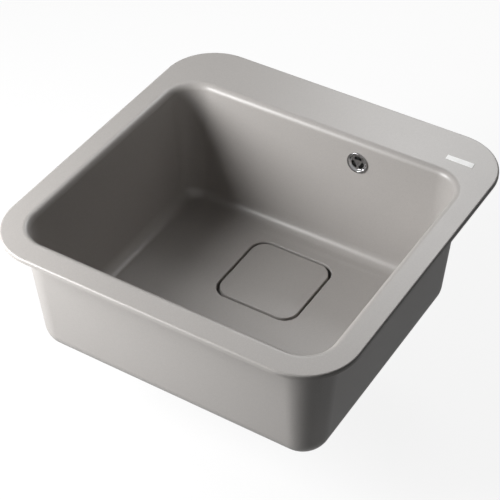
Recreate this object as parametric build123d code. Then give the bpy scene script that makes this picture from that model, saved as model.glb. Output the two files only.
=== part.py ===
from build123d import *
from math import atan2, cos, degrees, hypot, pi, radians, sin, tan
import os

os.makedirs("parts", exist_ok=True)

# Inset kitchen sink: one moulded composite bowl with a tap ledge behind it, its hidden
# strainer waste under a flush square cover, and the overflow that drains into the waste.
# Millimetres. The origin is the centre of the worktop cut-out, in the plane on which the
# rim rests. +X points right, +Y to the wall behind the sink and +Z up.

# Rim and tap ledge
rim_width = 500.0
rim_depth = 500.0
rim_corner_radius = 74.0
rim_thickness = 7.0
rim_edge_radius = 2.5
rim_under_chamfer = 0.8
side_margin = 35.5
front_margin = 38.0
ledge_depth = 85.0
seat_width = 14.0
pad_thickness = 5.0
pad_edge_chamfer = 1.5

# Bowl
bowl_depth = 186.0
bowl_corner_radius = 40.0
wall_thickness = 10.0
floor_thickness = 8.0
inner_draft = 3.5
outer_draft = 4.5
lip_radius = 10.0
floor_fillet = 18.0
outer_floor_fillet = 30.0
root_chamfer = 4.0

# Fall of the floor, from near the walls to the level border round the recess
floor_fall = 1.5
fall_from_wall = 24.0
recess_border = 10.0

# Square cover and the recess that it closes
recess_land = 6.0
cover_corner_radius = 21.5
cover_thickness = 8.0
cover_gap = 3.0
cover_edge_chamfer = 1.0
water_gap = 8.0
recess_edge_chamfer = 1.0
recess_wall = 9.0
recess_floor_thickness = 9.0
boss_edge_chamfer = 3.0
drain_from_bowl_back = 116.0
foot_radius = 7.0
foot_inset = 14.0
foot_sink = 2.0

# Tap position, moulded blind from below and knocked through when a tap is fitted
tap_hole_radius = 17.5
tap_skin = 3.0
tap_from_back = 41.0

# Sealing strip under the rim
strip_width = 7.0
strip_thickness = 2.0
strip_inset = 4.0

# Strainer dish, pressed from sheet steel
sheet = 1.2
throat_radius = 42.0
throat_lead = 2.0
drain_hole_gap = 1.8
flange_width = 11.0
flange_seat_gap = 1.0
flange_gasket_thickness = 1.5
basket_ledge_depth = 8.0
basket_ledge_width = 2.5
dish_depth = 46.0
plug_seat_radius = 33.0
plug_seat_width = 5.5
well_depth = 6.0
dish_hole_count = 6
dish_hole_radius = 7.0
dish_hole_border = 3.0

# Clamping screw and its insert
screw_radius = 3.0
screw_hole_gap = 0.4
screw_head_radius = 6.5
screw_head_height = 3.0
screw_head_chamfer = 0.8
screw_slot_width = 1.4
screw_slot_depth = 1.6
screw_reach = 13.0
thread_gap = 0.05
insert_radius = 5.5
insert_length = 14.0
insert_sink = 0.8

# Basket, and the plug that slides in it
basket_sheet = 0.8
basket_rim_gap = 0.4
basket_wall_gap = 0.6
basket_depth = 25.0
basket_floor_inset = 1.0
basket_slot_count = 16
basket_slot_width = 3.0
basket_slot_length = 13.0
basket_hole_count = 8
basket_hole_radius = 2.4
basket_hole_circle = 20.0
bush_radius = 5.5
bush_collar_radius = 8.0
bush_collar_thickness = 2.0
bush_height = 20.0
bush_tail = 1.0
stem_radius = 3.0
stem_gap = 0.06
plug_travel = 8.0
plug_seal_gap = 0.6
plug_seal_thickness = 2.6
plug_seal_lip = 0.8
plug_disc_radius = 14.0
plug_disc_thickness = 1.2
knob_radius = 9.0
knob_thickness = 3.5
knob_height = 7.0
knob_neck_radius = 6.0
knob_cover_gap = 4.0

# Plastic waste body under the bowl
body_gasket_thickness = 3.0
gasket_bore_gap = 1.0
gasket_edge_inset = 1.0
body_collar_thickness = 5.0
chamber_gap = 2.0
body_wall = 3.0
chamber_depth = 45.0
cone_depth = 15.0
outlet_radius = 23.9
outlet_bore_radius = 20.0
outlet_length = 28.0
hub_radius = 9.0
hub_length = 18.0
hub_rib_count = 3
hub_rib_thickness = 3.0
hub_rib_drop = 1.5
collar_rib_count = 8
collar_rib_thickness = 2.0
collar_rib_height = 14.0
inlet_drop = 26.0
inlet_reach = 72.0

# Overflow in the back wall
overflow_x = 60.4
overflow_drop = 34.5
rose_radius = 15.4
rose_flange = 2.2
rose_seat_depth = 0.6
rose_seat_gap = 0.4
rose_edge_chamfer = 0.7
rose_land_width = 3.4
rose_dish_depth = 2.7
rose_dish_foot_inset = 0.2
rose_disc_thickness = 1.5
rose_slot_count = 3
rose_slot_width = 4.4
rose_slot_border = 0.2
rose_slot_angle = 45.0
rose_tail_radius = 11.0
rose_tail_wall = 1.4
rose_tail_length = 22.0
overflow_hole_gap = 1.0
overflow_pad_depth = 0.8
overflow_pad_gap = 1.0
overflow_gasket_thickness = 2.0
head_flange_radius = 22.0
head_flange_thickness = 3.0
head_body_radius = 16.5
head_body_length = 33.0
head_end_chamfer = 2.5
spigot_from_flange = 15.0
spigot_drop = 34.0

# Overflow hose, with a screwed joint at both ends
spigot_radius = 14.0
spigot_bore_radius = 9.0
socket_depth = 10.0
socket_gap = 0.2
hose_bore_radius = 8.7
hose_radius = 10.5
hose_rib_radius = 12.5
hose_rib_pitch = 8.0
hose_rib_crest = 2.5
hose_rib_flank = 1.5
hose_bend_radius = 45.0
hose_bore_step = 15.0
hose_cuff = 26.0
nut_gap = 0.3
nut_wall = 3.0
nut_length = 15.0
nut_lip = 2.5
nut_rib_count = 8
nut_rib_size = 1.8
cone_seal_height = 4.0

# Heights and places that follow from these sizes
rim_top = rim_thickness
floor_z = rim_top - bowl_depth
underside_z = floor_z - floor_thickness
drain_hole_radius = throat_radius + sheet + drain_hole_gap
flange_radius = drain_hole_radius + flange_width
recess_size = 2 * (flange_radius + flange_seat_gap + recess_land)
cover_size = recess_size - 2 * cover_gap
recess_corner_radius = cover_corner_radius + cover_gap
recess_floor_z = floor_z - cover_thickness - water_gap
boss_bottom_z = recess_floor_z - recess_floor_thickness
bowl_width = rim_width - 2 * side_margin
bowl_length = rim_depth - front_margin - ledge_depth
bowl_center_y = (front_margin - ledge_depth) / 2
bowl_back_y = bowl_center_y + bowl_length / 2
drain_y = bowl_back_y - drain_from_bowl_back
flange_seat_z = recess_floor_z - flange_gasket_thickness - sheet
basket_ledge_z = recess_floor_z - basket_ledge_depth
basket_ledge_radius = throat_radius - basket_ledge_width
plug_seat_z = recess_floor_z - dish_depth
plug_seat_bore = plug_seat_radius - plug_seat_width
dish_hole_circle = plug_seat_bore - dish_hole_border - dish_hole_radius
plug_seal_radius = plug_seat_radius - plug_seal_gap
basket_floor_radius = plug_seat_radius - basket_floor_inset
dish_floor_z = plug_seat_z - well_depth
basket_floor_z = basket_ledge_z - basket_depth
plug_base_z = plug_seat_z + plug_travel
knob_top_z = floor_z - cover_thickness - knob_cover_gap
body_collar_radius = flange_radius
chamber_radius = throat_radius + sheet + chamber_gap
collar_top_z = boss_bottom_z - body_gasket_thickness
chamber_bottom_z = collar_top_z - chamber_depth
outlet_top_z = chamber_bottom_z - cone_depth
outlet_bottom_z = outlet_top_z - outlet_length
hub_top_z = dish_floor_z - sheet
inlet_z = collar_top_z - inlet_drop
nut_radius = spigot_radius + nut_gap + nut_wall
nut_start = nut_length - nut_lip - cone_seal_height
rose_dish_radius = rose_radius - rose_land_width
rose_tail_bore_radius = rose_tail_radius - rose_tail_wall
rose_dish_foot_radius = rose_tail_bore_radius - rose_dish_foot_inset
rose_slot_outer_radius = rose_dish_foot_radius - rose_slot_border
rose_slot_inner_radius = rose_slot_outer_radius - rose_slot_width
overflow_hole_radius = rose_tail_radius + overflow_hole_gap

# The overflow's own plane lies on the bowl's back wall, with its Z axis out of the bowl
wall_tilt = radians(inner_draft)
overflow_y = bowl_back_y - overflow_drop * tan(wall_tilt)
overflow_plane = Plane(
    origin=(overflow_x, overflow_y, rim_top - overflow_drop),
    x_dir=(-1, 0, 0),
    z_dir=(0, cos(wall_tilt), -sin(wall_tilt)),
)
outer_wall_y = bowl_back_y + wall_thickness - overflow_drop * tan(radians(outer_draft))
overflow_wall = (outer_wall_y - overflow_y) * cos(wall_tilt)
pad_w = overflow_wall - overflow_pad_depth
head_w = pad_w + overflow_gasket_thickness
spigot_w = head_w + head_flange_thickness + spigot_from_flange
spigot_axis = overflow_plane.from_local_coords(Vector(0, 0, spigot_w))
spigot_end_z = spigot_axis.Z - spigot_drop

# The hose lies in one upright plane, from under the spigot to the waste body's inlet
hose_run = hypot(spigot_axis.X, spigot_axis.Y - drain_y)
hose_turn = atan2(spigot_axis.Y - drain_y, spigot_axis.X)
hose_plane = Plane(
    origin=(0, drain_y, 0),
    x_dir=(cos(hose_turn), sin(hose_turn), 0),
    z_dir=(sin(hose_turn), -cos(hose_turn), 0),
)
hose_top_z = spigot_end_z + socket_depth
bend_top_z = inlet_z + hose_bend_radius
bend_end = hose_run - hose_bend_radius
hose_end = inlet_reach - socket_depth
upright_length = hose_top_z - bend_top_z
bend_length = hose_bend_radius * pi / 2
hose_length = upright_length + bend_length + bend_end - hose_end


# Shared shapes

def rounded_slab(width, depth, radius, bottom, top):
    outline = Pos(0, 0, bottom) * RectangleRounded(width, depth, radius)
    return extrude(outline, top - bottom)


def bowl_block(offset, draft, bottom, top):
    step = offset - (rim_top - top) * tan(radians(draft))
    outline = RectangleRounded(bowl_width + 2 * step, bowl_length + 2 * step, bowl_corner_radius + step)
    place = Plane(origin=(0, bowl_center_y, top), x_dir=(1, 0, 0), z_dir=(0, 0, -1))
    return extrude(place * outline, top - bottom, taper=draft)


def disc(radius, bottom, top):
    return extrude(Pos(0, 0, bottom) * Circle(radius), top - bottom)


def ring(outer_radius, inner_radius, bottom, top):
    return extrude(Pos(0, 0, bottom) * (Circle(outer_radius) - Circle(inner_radius)), top - bottom)


def turned(points):
    profile = make_face(Plane.XZ * Polyline(*points, close=True))
    return revolve(profile, Axis.Z)


def around(count, piece):
    return [Rot(0, 0, 360 * i / count) * piece for i in range(count)]


def at_drain(piece):
    return Pos(0, drain_y, 0) * piece


# The moulded bowl, rim and ledge

def rim_plate():
    plate = rounded_slab(rim_width, rim_depth, rim_corner_radius, 0, rim_thickness)
    plate = fillet(plate.faces().sort_by(Axis.Z)[-1].edges(), rim_edge_radius)
    return chamfer(plate.faces().sort_by(Axis.Z)[0].edges(), rim_under_chamfer)


def rim_pad():
    width = rim_width - 2 * seat_width
    depth = rim_depth - 2 * seat_width
    pad = rounded_slab(width, depth, rim_corner_radius - seat_width, -pad_thickness, rim_thickness / 2)
    return chamfer(pad.faces().sort_by(Axis.Z)[0].edges(), pad_edge_chamfer)


def bowl_shell():
    shell = bowl_block(wall_thickness, outer_draft, underside_z, 0)
    return fillet(shell.faces().sort_by(Axis.Z)[0].edges(), outer_floor_fillet)


def bowl_cavity():
    cavity = bowl_block(0, inner_draft, floor_z + floor_fall, rim_top + lip_radius)
    return fillet(cavity.faces().sort_by(Axis.Z)[0].edges(), floor_fillet)


def floor_dip():
    narrowing = fall_from_wall + (bowl_depth - floor_fall) * tan(radians(inner_draft))
    width = bowl_width - 2 * narrowing
    length = bowl_length - 2 * narrowing
    border = recess_size + 2 * recess_border
    left = (width - border) / 2
    front = drain_y - border / 2 - (bowl_center_y - length / 2)
    top_center = (Align.CENTER, Align.MIN, Align.CENTER)
    dip = Wedge(width, floor_fall, length, left, front, left + border, front + border, align=top_center)
    return Pos(0, bowl_center_y, floor_z + floor_fall) * Rot(-90, 0, 0) * dip


def drain_recess():
    recess = rounded_slab(recess_size, recess_size, recess_corner_radius, recess_floor_z, floor_z)
    recess += disc(flange_radius + flange_seat_gap, flange_seat_z, recess_floor_z)
    recess += disc(drain_hole_radius, boss_bottom_z, flange_seat_z)
    return at_drain(recess)


def drain_boss():
    size = recess_size + 2 * recess_wall
    radius = recess_corner_radius + recess_wall
    boss = rounded_slab(size, size, radius, boss_bottom_z, underside_z + floor_thickness / 2)
    boss = chamfer(boss.faces().sort_by(Axis.Z)[0].edges(), boss_edge_chamfer)
    return at_drain(boss)


def overflow_cuts():
    hole = disc(overflow_hole_radius, -rose_flange, overflow_wall + pad_thickness)
    rose_seat = disc(rose_radius + rose_seat_gap, -rose_flange, rose_seat_depth)
    pad = disc(head_flange_radius + overflow_pad_gap, pad_w, overflow_wall + pad_thickness)
    return overflow_plane * (hole + rose_seat + pad)


def rim_strip():
    width = rim_width - 2 * strip_inset
    depth = rim_depth - 2 * strip_inset
    radius = rim_corner_radius - strip_inset
    strip = rounded_slab(width, depth, radius, 0, strip_thickness)
    inner = 2 * strip_width
    strip -= rounded_slab(width - inner, depth - inner, radius - strip_width, 0, strip_thickness)
    return strip


def inner_loop(body, z):
    faces = body.faces().filter_by(Axis.Z).filter_by_position(Axis.Z, z - 0.01, z + 0.01)
    return faces.sort_by(SortBy.AREA)[-1].inner_wires()[0].edges()


def sink_body():
    body = rim_plate() + rim_pad() + bowl_shell() + drain_boss()
    body = chamfer(inner_loop(body, -pad_thickness), root_chamfer)
    body -= bowl_cavity()
    body = fillet(inner_loop(body, rim_top), lip_radius)
    body -= floor_dip()
    body -= drain_recess()
    body = chamfer(inner_loop(body, floor_z), recess_edge_chamfer)
    body -= Pos(0, rim_depth / 2 - tap_from_back, 0) * disc(tap_hole_radius, -pad_thickness, rim_top - tap_skin)
    body -= overflow_cuts()
    return body - rim_strip()


# The flush cover and its feet

def foot_places():
    reach = cover_size / 2 - foot_inset
    return [Pos(x, y, 0) for x in (-reach, reach) for y in (-reach, reach)]


def foot():
    return disc(foot_radius, recess_floor_z, floor_z - cover_thickness + foot_sink)


def waste_cover():
    plate = rounded_slab(cover_size, cover_size, cover_corner_radius, floor_z - cover_thickness, floor_z)
    plate = chamfer(plate.faces().sort_by(Axis.Z)[-1].edges(), cover_edge_chamfer)
    for place in foot_places():
        plate -= place * foot()
    return at_drain(plate)


def cover_feet():
    return at_drain(Compound([place * foot() for place in foot_places()]))


# The strainer dish and what clamps it

def strainer_flange():
    top = recess_floor_z
    dish = turned([
        (flange_radius, top - sheet),
        (flange_radius, top),
        (throat_radius + throat_lead, top),
        (throat_radius, top - throat_lead),
        (throat_radius, basket_ledge_z),
        (basket_ledge_radius, basket_ledge_z),
        (plug_seat_radius, plug_seat_z),
        (plug_seat_bore, plug_seat_z),
        (plug_seat_bore, dish_floor_z),
        (0, dish_floor_z),
        (0, dish_floor_z - sheet),
        (plug_seat_bore + sheet, dish_floor_z - sheet),
        (plug_seat_bore + sheet, plug_seat_z - sheet),
        (plug_seat_radius + sheet, plug_seat_z - sheet),
        (basket_ledge_radius + sheet, basket_ledge_z - sheet),
        (throat_radius + sheet, basket_ledge_z - sheet),
        (throat_radius + sheet, top - sheet),
    ])
    cutter = disc(dish_hole_radius, dish_floor_z - sheet, dish_floor_z)
    for hole in around(dish_hole_count, Pos(dish_hole_circle, 0, 0) * cutter):
        dish -= hole
    dish -= disc(screw_radius + screw_hole_gap, dish_floor_z - sheet, dish_floor_z)
    return at_drain(dish)


def flange_gasket():
    outer = flange_radius - gasket_edge_inset
    return at_drain(ring(outer, drain_hole_radius + gasket_bore_gap, flange_seat_z, recess_floor_z - sheet))


def body_gasket():
    outer = body_collar_radius - gasket_edge_inset
    return at_drain(ring(outer, drain_hole_radius + gasket_bore_gap, collar_top_z, boss_bottom_z))


def clamp_screw():
    head_top = dish_floor_z + screw_head_height
    screw = turned([
        (0, head_top),
        (screw_head_radius - screw_head_chamfer, head_top),
        (screw_head_radius, head_top - screw_head_chamfer),
        (screw_head_radius, dish_floor_z),
        (screw_radius, dish_floor_z),
        (screw_radius, hub_top_z - screw_reach),
        (0, hub_top_z - screw_reach),
    ])
    slot_place = Pos(0, 0, head_top - screw_slot_depth / 2)
    return at_drain(screw - slot_place * Box(3 * screw_head_radius, screw_slot_width, screw_slot_depth))


def brass_insert():
    top = hub_top_z - insert_sink
    return at_drain(ring(insert_radius, screw_radius + thread_gap, top - insert_length, top))


# The plastic waste body

def collar_rib():
    inner = chamber_radius + body_wall / 2
    outer = body_collar_radius - gasket_edge_inset
    collar_bottom = collar_top_z - body_collar_thickness
    middle = collar_top_z - body_collar_thickness / 2
    corners = [(inner, middle), (outer, middle), (outer, collar_bottom), (inner, collar_bottom - collar_rib_height)]
    web = make_face(Plane.XZ * Polyline(*corners, close=True))
    return extrude(web, collar_rib_thickness / 2, both=True)


def hub_rib():
    inner = hub_radius - body_wall / 2
    outer = chamber_radius + body_wall / 2
    top = hub_top_z - hub_rib_drop
    height = hub_length - hub_rib_drop
    middle = Pos((inner + outer) / 2, 0, top - height / 2)
    return middle * Box(outer - inner, hub_rib_thickness, height)


def waste_outside():
    return turned([
        (0, collar_top_z),
        (body_collar_radius, collar_top_z),
        (body_collar_radius, collar_top_z - body_collar_thickness),
        (chamber_radius + body_wall, collar_top_z - body_collar_thickness),
        (chamber_radius + body_wall, chamber_bottom_z),
        (outlet_radius, outlet_top_z - body_wall / 2),
        (outlet_radius, outlet_bottom_z),
        (0, outlet_bottom_z),
    ])


def waste_chamber():
    return turned([
        (0, collar_top_z),
        (chamber_radius, collar_top_z),
        (chamber_radius, chamber_bottom_z),
        (outlet_bore_radius, outlet_top_z),
        (outlet_bore_radius, outlet_bottom_z),
        (0, outlet_bottom_z),
    ])


def along_inlet(piece):
    return Rot(0, 0, degrees(hose_turn)) * Pos(0, 0, inlet_z) * Rot(0, 90, 0) * piece


def inlet_tube():
    return along_inlet(disc(spigot_radius, chamber_radius, inlet_reach))


def inlet_bore():
    bore = disc(spigot_bore_radius, chamber_radius - 2 * body_wall, inlet_reach)
    return along_inlet(bore + disc(hose_radius + socket_gap, hose_end, inlet_reach))


def waste_body():
    body = waste_outside()
    for rib in around(collar_rib_count, collar_rib()):
        body += rib
    body += inlet_tube()
    body -= waste_chamber()
    for rib in around(hub_rib_count, hub_rib()):
        body += rib & waste_outside()
    body += disc(hub_radius, hub_top_z - hub_length, hub_top_z)
    body -= disc(insert_radius, hub_top_z - insert_sink - insert_length, hub_top_z)
    body -= inlet_bore()
    return at_drain(body)


# The basket, and the plug that slides in it

def basket_wall_top():
    return basket_ledge_radius - basket_wall_gap


def basket_slot():
    middle_z = basket_ledge_z - basket_depth / 2
    middle_radius = (basket_wall_top() + basket_floor_radius) / 2
    wall_angle = degrees(atan2(basket_wall_top() - basket_floor_radius, basket_depth))
    cutter = Box(6 * basket_sheet, basket_slot_width, basket_slot_length)
    return Pos(middle_radius, 0, middle_z) * Rot(0, wall_angle, 0) * cutter


def basket_cup():
    cup = turned([
        (throat_radius - basket_rim_gap, basket_ledge_z),
        (throat_radius - basket_rim_gap, basket_ledge_z + basket_sheet),
        (basket_wall_top() - basket_sheet, basket_ledge_z + basket_sheet),
        (basket_floor_radius - basket_sheet, basket_floor_z + basket_sheet),
        (bush_radius, basket_floor_z + basket_sheet),
        (bush_radius, basket_floor_z),
        (basket_floor_radius, basket_floor_z),
        (basket_wall_top(), basket_ledge_z),
    ])
    for slot in around(basket_slot_count, basket_slot()):
        cup -= slot
    cutter = disc(basket_hole_radius, basket_floor_z, basket_floor_z + basket_sheet)
    for hole in around(basket_hole_count, Pos(basket_hole_circle, 0, 0) * cutter):
        cup -= hole
    return at_drain(cup)


def stem_bush():
    collar_z = basket_floor_z + basket_sheet
    bush = turned([
        (stem_radius + stem_gap, collar_z + bush_height),
        (bush_radius, collar_z + bush_height),
        (bush_radius, collar_z + bush_collar_thickness),
        (bush_collar_radius, collar_z + bush_collar_thickness),
        (bush_collar_radius, collar_z),
        (bush_radius, collar_z),
        (bush_radius, basket_floor_z - bush_tail),
        (stem_radius + stem_gap, basket_floor_z - bush_tail),
    ])
    return at_drain(bush)


def plug_seal():
    top = plug_base_z + plug_seal_thickness
    seal = turned([
        (stem_radius, top),
        (plug_seal_radius - plug_seal_lip, top),
        (plug_seal_radius, plug_base_z),
        (stem_radius, plug_base_z),
    ])
    return at_drain(seal)


def plug_stem():
    foot_z = plug_base_z - plug_disc_thickness
    stem = turned([
        (0, knob_top_z - knob_height),
        (stem_radius, knob_top_z - knob_height),
        (stem_radius, plug_base_z),
        (plug_disc_radius, plug_base_z),
        (plug_disc_radius, foot_z),
        (0, foot_z),
    ])
    return at_drain(stem)


def plug_knob():
    base_z = knob_top_z - knob_height
    knob = turned([
        (0, knob_top_z),
        (knob_radius, knob_top_z),
        (knob_radius, knob_top_z - knob_thickness),
        (knob_neck_radius, knob_top_z - knob_thickness),
        (knob_neck_radius, base_z),
        (0, base_z),
    ])
    return at_drain(knob)


# The overflow

def rose_slot():
    middle = (rose_slot_inner_radius + rose_slot_outer_radius) / 2
    half = rose_slot_angle / 2
    path = CenterArc((0, 0, 0), middle, 90 - half, rose_slot_angle)
    outline = SlotArc(path, rose_slot_outer_radius - rose_slot_inner_radius)
    return extrude(Pos(0, 0, -rose_flange) * outline, 4 * rose_flange)


def overflow_rose():
    back = rose_seat_depth
    front = back - rose_flange
    dish = front + rose_dish_depth
    rose = turned([
        (0, dish),
        (rose_dish_foot_radius, dish),
        (rose_dish_radius, front),
        (rose_radius - rose_edge_chamfer, front),
        (rose_radius, front + rose_edge_chamfer),
        (rose_radius, back),
        (rose_tail_radius, back),
        (rose_tail_radius, rose_tail_length),
        (rose_tail_bore_radius, rose_tail_length),
        (rose_tail_bore_radius, dish + rose_disc_thickness),
        (0, dish + rose_disc_thickness),
    ])
    for slot in around(rose_slot_count, rose_slot()):
        rose -= slot
    return overflow_plane * rose


def overflow_gasket():
    return overflow_plane * ring(head_flange_radius, overflow_hole_radius, pad_w, head_w)


def at_spigot(piece):
    return Pos(spigot_axis.X, spigot_axis.Y, 0) * piece


def overflow_head():
    flange_back = head_w + head_flange_thickness
    body_end = head_w + head_body_length
    body = turned([
        (0, head_w),
        (head_flange_radius, head_w),
        (head_flange_radius, flange_back),
        (head_body_radius, flange_back),
        (head_body_radius, body_end - head_end_chamfer),
        (head_body_radius - head_end_chamfer, body_end),
        (0, body_end),
    ])
    head = overflow_plane * body
    head += at_spigot(disc(spigot_radius, spigot_end_z, spigot_axis.Z))
    head -= overflow_plane * disc(rose_tail_radius + thread_gap, head_w, body_end - body_wall)
    bore = disc(spigot_bore_radius, spigot_end_z, spigot_axis.Z)
    bore += disc(hose_radius + socket_gap, spigot_end_z, hose_top_z)
    return head - at_spigot(bore)


# The hose and its screwed joints

def hose_place(distance):
    if distance <= upright_length:
        spot, heading = (hose_run, hose_top_z - distance), -pi / 2
    elif distance <= upright_length + bend_length:
        turn = (distance - upright_length) / hose_bend_radius
        spot = (bend_end + hose_bend_radius * cos(turn), bend_top_z - hose_bend_radius * sin(turn))
        heading = -pi / 2 - turn
    else:
        spot, heading = (bend_end - (distance - upright_length - bend_length), inlet_z), -pi
    origin = hose_plane.from_local_coords(Vector(*spot, 0))
    ahead = hose_plane.from_local_coords(Vector(spot[0] + cos(heading), spot[1] + sin(heading), 0))
    return Plane(origin=origin, x_dir=hose_plane.z_dir, z_dir=ahead - origin)


def hose_outline():
    rib_count = int((hose_length - 2 * hose_cuff) // hose_rib_pitch)
    start = (hose_length - rib_count * hose_rib_pitch) / 2
    stations = [(0, hose_radius)]
    for i in range(rib_count):
        foot_at = start + i * hose_rib_pitch
        crest_at = foot_at + hose_rib_flank
        stations.append((foot_at, hose_radius))
        stations.append((crest_at, hose_rib_radius))
        stations.append((crest_at + hose_rib_crest, hose_rib_radius))
        stations.append((crest_at + hose_rib_crest + hose_rib_flank, hose_radius))
    stations.append((hose_length, hose_radius))
    return stations


def hose_bore_outline():
    steps = round(90 / hose_bore_step)
    bend = [upright_length + bend_length * i / steps for i in range(steps + 1)]
    return [(distance, hose_bore_radius) for distance in [0, *bend, hose_length]]


def hose_loft(outline):
    return loft([hose_place(distance) * Circle(radius) for distance, radius in outline], ruled=True)


def overflow_hose():
    return hose_loft(hose_outline()) - hose_loft(hose_bore_outline())


def hose_nut():
    bore = spigot_radius + nut_gap
    lip_bore = hose_radius + nut_gap
    nut = turned([
        (bore, 0),
        (nut_radius, 0),
        (nut_radius, nut_length),
        (lip_bore, nut_length),
        (lip_bore, nut_length - nut_lip),
        (bore, nut_length - nut_lip - cone_seal_height / 2),
    ])
    rib = Pos(nut_radius, 0, nut_length / 2) * Box(nut_rib_size, nut_rib_size, nut_length - nut_lip)
    for ridge in around(nut_rib_count, rib):
        nut += ridge
    return Pos(0, 0, -nut_start) * nut


def cone_seal():
    return turned([
        (hose_radius, 0),
        (spigot_radius, 0),
        (spigot_radius, cone_seal_height / 2),
        (hose_radius + nut_gap, cone_seal_height),
        (hose_radius, cone_seal_height),
    ])


def at_both_joints(piece):
    upper = Pos(spigot_axis.X, spigot_axis.Y, spigot_end_z) * Rot(180, 0, 0) * piece
    lower = at_drain(along_inlet(Pos(0, 0, inlet_reach) * piece))
    return Compound([upper, lower])


nodes = {
    "sink_body": sink_body(),
    "rim_seal": rim_strip(),
    "waste_cover": waste_cover(),
    "cover_feet": cover_feet(),
    "strainer_flange": strainer_flange(),
    "flange_gasket": flange_gasket(),
    "body_gasket": body_gasket(),
    "clamp_screw": clamp_screw(),
    "brass_insert": brass_insert(),
    "waste_body": waste_body(),
    "basket_cup": basket_cup(),
    "stem_bush": stem_bush(),
    "plug_stem": plug_stem(),
    "plug_seal": plug_seal(),
    "plug_knob": plug_knob(),
    "overflow_rose": overflow_rose(),
    "overflow_gasket": overflow_gasket(),
    "overflow_head": overflow_head(),
    "overflow_hose": overflow_hose(),
    "hose_nuts": at_both_joints(hose_nut()),
    "hose_seals": at_both_joints(cone_seal()),
}

for name, shape in nodes.items():
    export_step(shape, f"parts/{name}.step")
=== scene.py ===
from math import atan2, cos, pi, radians, sin, tan

import bmesh
import bpy
from mathutils import Matrix, Vector


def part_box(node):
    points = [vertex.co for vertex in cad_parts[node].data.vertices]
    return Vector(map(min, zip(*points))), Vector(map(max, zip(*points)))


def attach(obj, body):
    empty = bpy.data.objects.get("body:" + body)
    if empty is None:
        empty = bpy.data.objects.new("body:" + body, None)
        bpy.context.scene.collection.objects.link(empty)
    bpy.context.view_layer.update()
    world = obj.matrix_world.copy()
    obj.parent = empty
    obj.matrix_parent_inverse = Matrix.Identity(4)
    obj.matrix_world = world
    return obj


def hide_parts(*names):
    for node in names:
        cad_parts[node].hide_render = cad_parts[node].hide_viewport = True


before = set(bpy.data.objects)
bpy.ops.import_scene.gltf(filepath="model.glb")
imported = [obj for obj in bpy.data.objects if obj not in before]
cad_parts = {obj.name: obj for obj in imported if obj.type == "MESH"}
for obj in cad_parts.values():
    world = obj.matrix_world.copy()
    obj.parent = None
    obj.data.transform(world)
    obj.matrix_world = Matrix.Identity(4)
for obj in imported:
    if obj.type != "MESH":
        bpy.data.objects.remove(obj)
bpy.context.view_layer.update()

# Sink body. One moulding of quartz-filled resin: the rim rests on the worktop, the bowl hangs
# through the cut-out, and the boss under the floor holds the waste. Satin, with a fine grain.

mm = 0.001
rim_half = 250 * mm
rim_corner = 74 * mm
rim_top = 7 * mm
rim_edge = 2.4 * mm
under_edge = 0.8 * mm
bowl_half_x = 214.5 * mm
bowl_half_y = 188.5 * mm
bowl_y = -23.5 * mm
bowl_corner = 40 * mm
lip_radius = 10 * mm
wall = 10 * mm
inner_draft = radians(3.5)
outer_draft = radians(4.5)
floor_fillet = 18 * mm
outer_fillet = 30 * mm
floor_z = -179 * mm
floor_fall = 0.7 * mm
floor_edge_z = floor_z + floor_fall
underside_z = -187 * mm
seat_inset = 14 * mm
pad_z = -5 * mm
groove_inset = 4 * mm
groove_width = 7 * mm
groove_depth = 2 * mm
drain_y = 49 * mm
recess_half = 63.4 * mm
recess_corner = 22.5 * mm
recess_border = 10 * mm
recess_floor_z = -195 * mm
flange_pocket = 57 * mm
flange_pocket_z = -197.7 * mm
drain_hole = 45 * mm
boss_half = 72 * mm
boss_corner = 33.5 * mm
boss_z = -204 * mm
pad_edge = 1.5 * mm
level_margin = 4 * mm
flat_hold = 0.5 * mm


def outline(half_x, half_y, corner, z, center_y, steps=16):
    """Points of a rounded rectangle at height z, starting at its front right corner.

    A point just outside each end of a corner keeps the flat sides level right up to the curve."""
    points = []
    hold = min(flat_hold, half_x - corner, half_y - corner)
    corners = ((1, -1, -90), (1, 1, 0), (-1, 1, 90), (-1, -1, 180))
    for side_x, side_y, start in corners:
        x = side_x * (half_x - corner)
        y = center_y + side_y * (half_y - corner)
        for i in range(-1, steps + 2):
            angle = radians(start + 90 * min(max(i, 0), steps) / steps)
            past = hold * (i > steps) - hold * (i < 0)
            along_x, along_y = -sin(angle) * past, cos(angle) * past
            points.append((x + corner * cos(angle) + along_x, y + corner * sin(angle) + along_y, z))
    return points


def lofted(rings):
    """A closed skin through matching rings of points, the last ring joined to the first."""
    shell = bmesh.new()
    loops = [[shell.verts.new(point) for point in ring] for ring in rings]
    for here, ahead in zip(loops, loops[1:] + loops[:1]):
        for i in range(len(here)):
            j = (i + 1) % len(here)
            shell.faces.new((here[i], here[j], ahead[j], ahead[i]))
    bmesh.ops.remove_doubles(shell, verts=shell.verts, dist=1e-6)
    bmesh.ops.recalc_face_normals(shell, faces=shell.faces)
    return shell


def as_object(name, shell, crease=radians(35)):
    """A smooth-shaded object whose edges past the crease angle stay sharp."""
    mesh = bpy.data.meshes.new(name)
    shell.to_mesh(mesh)
    shell.free()
    mesh.shade_smooth()
    mesh.set_sharp_from_angle(angle=crease)
    piece = bpy.data.objects.new(name, mesh)
    bpy.context.scene.collection.objects.link(piece)
    return piece


def finished(piece, crease=radians(35)):
    """The piece with its modifiers made part of its mesh."""
    depsgraph = bpy.context.evaluated_depsgraph_get()
    mesh = bpy.data.meshes.new_from_object(piece.evaluated_get(depsgraph))
    piece.modifiers.clear()
    mesh.name = piece.name
    piece.data = mesh
    mesh.shade_smooth()
    mesh.set_sharp_from_angle(angle=crease)
    return piece


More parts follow.
